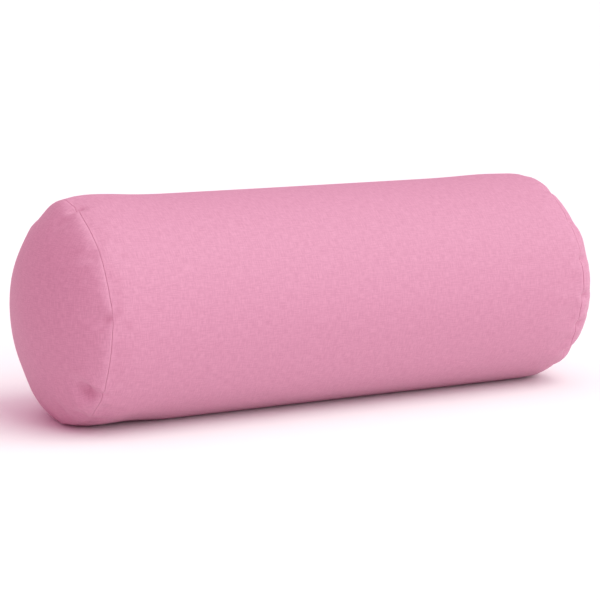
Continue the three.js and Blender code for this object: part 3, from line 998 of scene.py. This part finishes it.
def aim_camera():
    """Sets the camera a little above the bolster, in front and towards its left end."""
    level = Vector((math.sin(CAMERA_AZIMUTH), -math.cos(CAMERA_AZIMUTH), 0))
    back = level * math.cos(CAMERA_ELEVATION) + Vector((0, 0, math.sin(CAMERA_ELEVATION)))
    right = Vector((math.cos(CAMERA_AZIMUTH), math.sin(CAMERA_AZIMUTH), 0))
    up = back.cross(right)
    centre = Vector((0, 0, AXIS_Z))
    aim = centre - right * AIM_LEFT - up * AIM_DOWN
    camera = bpy.data.objects.new("camera", bpy.data.cameras.new("camera"))
    camera.data.lens = CAMERA_LENS
    camera.data.sensor_width = CAMERA_SENSOR
    camera.location = centre + back * CAMERA_DISTANCE
    camera.rotation_euler = (aim - camera.location).to_track_quat("-Z", "Y").to_euler()
    bpy.context.scene.collection.objects.link(camera)
    bpy.context.scene.camera = camera


bpy.context.scene.view_settings.view_transform = "Standard"
bpy.context.scene.world = surroundings()
lay_floor()
sun("key", **KEY)
sun("top", **TOP)
aim_camera()
simulate()

# ---- The bolster ----

SIDES = {"left": -1, "right": 1}
ROWS = {"lower": -1, "upper": 1}
PLY = [(1, 1, 1)]  # thread is ribbed one way, and tape two ways
WEAVE = [(1, 0, 0.6), (0, 0, 1)]
PLY_PITCH, WEAVE_PITCH = 0.35 * MM, 0.8 * MM
pink_canvas = canvas("pink canvas", (0.545, 0.215, 0.330, 1), (0.640, 0.284, 0.412, 1), threads_per_mm=1.7)
cotton = canvas("cotton", (0.74, 0.72, 0.67, 1), (0.86, 0.84, 0.80, 1), threads_per_mm=2.2)
thread = ribbed("pink thread", (0.62, 0.24, 0.38, 1), PLY, PLY_PITCH, roughness=0.6)
pale_thread = ribbed("pale thread", (0.88, 0.87, 0.83, 1), PLY, PLY_PITCH, roughness=0.6)
tape = ribbed("pink zip tape", (0.72, 0.31, 0.46, 1), WEAVE, WEAVE_PITCH, roughness=0.7)
nylon = plain("pink nylon", (0.66, 0.25, 0.41, 1), roughness=0.38)
enamel = plain("pink enamel", (0.60, 0.21, 0.36, 1), roughness=0.32, coat=0.5)
fibre = fluff("fibre", (0.93, 0.93, 0.91, 1))


def add(piece, body, material, replaced):
    """Dresses a piece and says what moves it, what it is made of and which CAD node it takes over from."""
    piece.data.materials.clear()
    piece.data.materials.append(material)
    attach(piece, body)
    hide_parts(replaced)


def add_sewn(piece, replaced, material=thread):
    """The same for a row of stitches."""
    add(piece, "pillow", material, replaced)


def add_stuffed(piece, material, replaced):
    """The same for cloth that the filling holds taut, and for the filling."""
    add(piece, "pillow", material, replaced)


add_stuffed(tube_panel(), pink_canvas, "cover_body_panel")
for word, side in SIDES.items():
    panel = end_panel(side, "cover_end_panel_" + word)
    add_stuffed(panel, pink_canvas, "cover_end_" + word)
    add_sewn(end_seam_stitches(side, "end_seam_stitches_" + word), "end_seam_thread_" + word)
    add_sewn(overlock(side, "overlock_loops_" + word), "overlock_thread_" + word)
    liner_end = inner_skin("liner_end_panel_" + word, side * (SEAM_X + LINER_GAP), side * POLE)
    thicken(liner_end, LINER_CLOTH)
    add_stuffed(liner_end, cotton, "liner_end_" + word)
    running = liner_stitches(side, "liner_stitches_" + word)
    add_sewn(running, "liner_seam_thread_" + word, pale_thread)
    add_sewn(closing_stitches(side, "closing_stitches_" + word), "closing_seam_thread_" + word)
liner = inner_skin("liner_tube_skin", -SEAM_X + LINER_GAP, SEAM_X - LINER_GAP)
thicken(liner, LINER_CLOTH)
add_stuffed(liner, cotton, "liner_tube")
filling = inner_skin("fibre_mass", -POLE, POLE, LINER_CLOTH + FILLING_GAP)
add_stuffed(filling, fibre, "fibre_filling")
for word, sign in ROWS.items():
    add_sewn(zip_side_stitches(sign, "zip_topstitching_" + word), "zip_tape_stitches_" + word)
    add(zip_coil(sign, "zip_coil_loops_" + word), "pillow", nylon, "zip_coil_" + word)
for body in ("slider", "pull_tab"):
    add(eased_copy(nodes["zip_" + body], body + "_eased"), body, enamel, "zip_" + body)

for name, node in nodes.items():
    node.data.materials.clear()
    node.data.materials.append(tape if "tape" in name else nylon)
